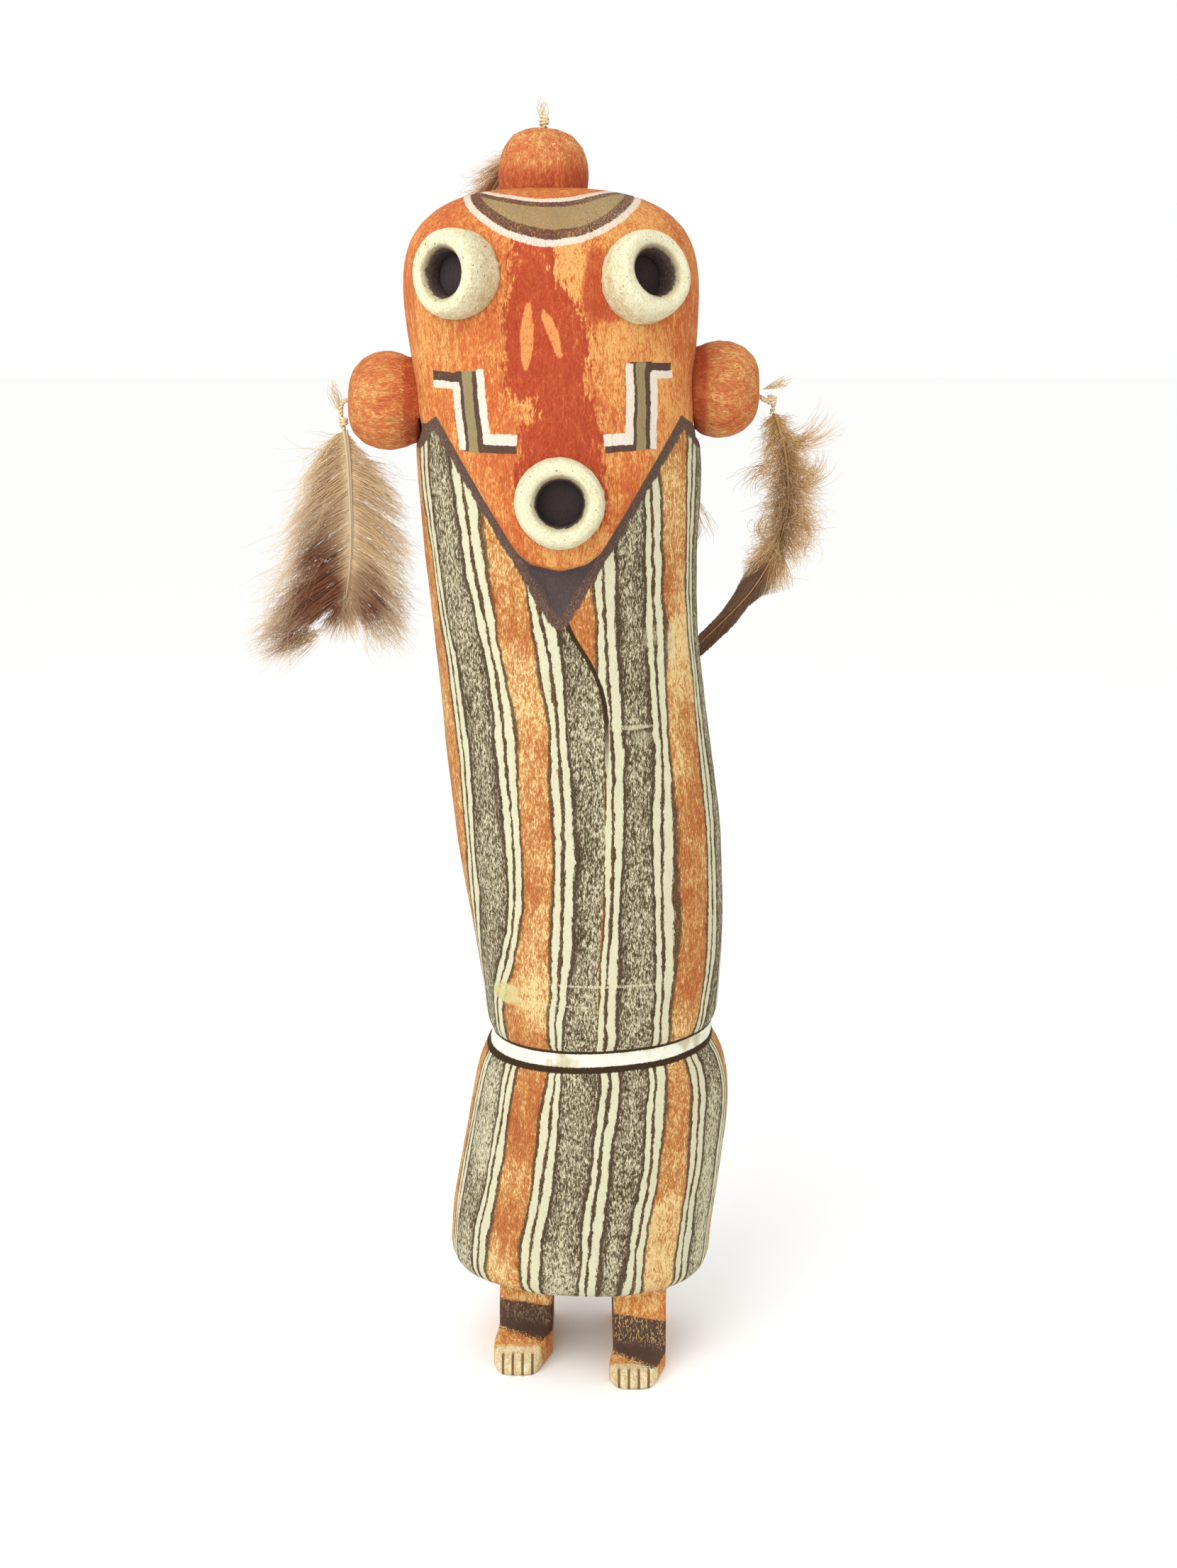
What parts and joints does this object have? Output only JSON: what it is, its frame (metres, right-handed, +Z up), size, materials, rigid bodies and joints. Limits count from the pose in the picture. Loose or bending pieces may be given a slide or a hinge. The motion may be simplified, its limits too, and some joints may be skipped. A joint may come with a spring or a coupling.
{
  "type": "carved kachina doll",
  "caption": "Standing doll carved from one root and painted, with tube eyes and mouth, knob ears and crown, striped blanket and hanging feathers.",
  "frame": {"origin": "centre of the whole doll's box, on the surface that the soles stand on", "axes": "+Z up along the body, -Y the way the face looks, +X to the right of someone looking it in the face"},
  "size_m": [0.1282, 0.074, 0.296],
  "materials": {
    "carved_root": "painted with thin earth colours in orange-red, brown-black, olive and off-white over pale grained root, worn",
    "knob_paint": "thin orange-red paint over grained root, worn at the facets",
    "tube_paint": "matte off-white paint, nearly black inside the bore",
    "string": "twisted natural cotton, frayed",
    "feather": "soft tan and brown down with a darker tip"
  },
  "bodies": {
    "root": {"figure": "carved_root", "top_knob": "knob_paint", "ear_knob_left": "knob_paint", "ear_knob_right": "knob_paint", "eye_tube_left": "tube_paint", "eye_tube_right": "tube_paint", "mouth_tube": "tube_paint", "ear_tie_left": "string", "ear_tie_right": "string", "top_tie": "string", "ear_feather_left": "feather", "ear_feather_right": "feather", "top_feather": "feather"}
  },
  "joints": []
}
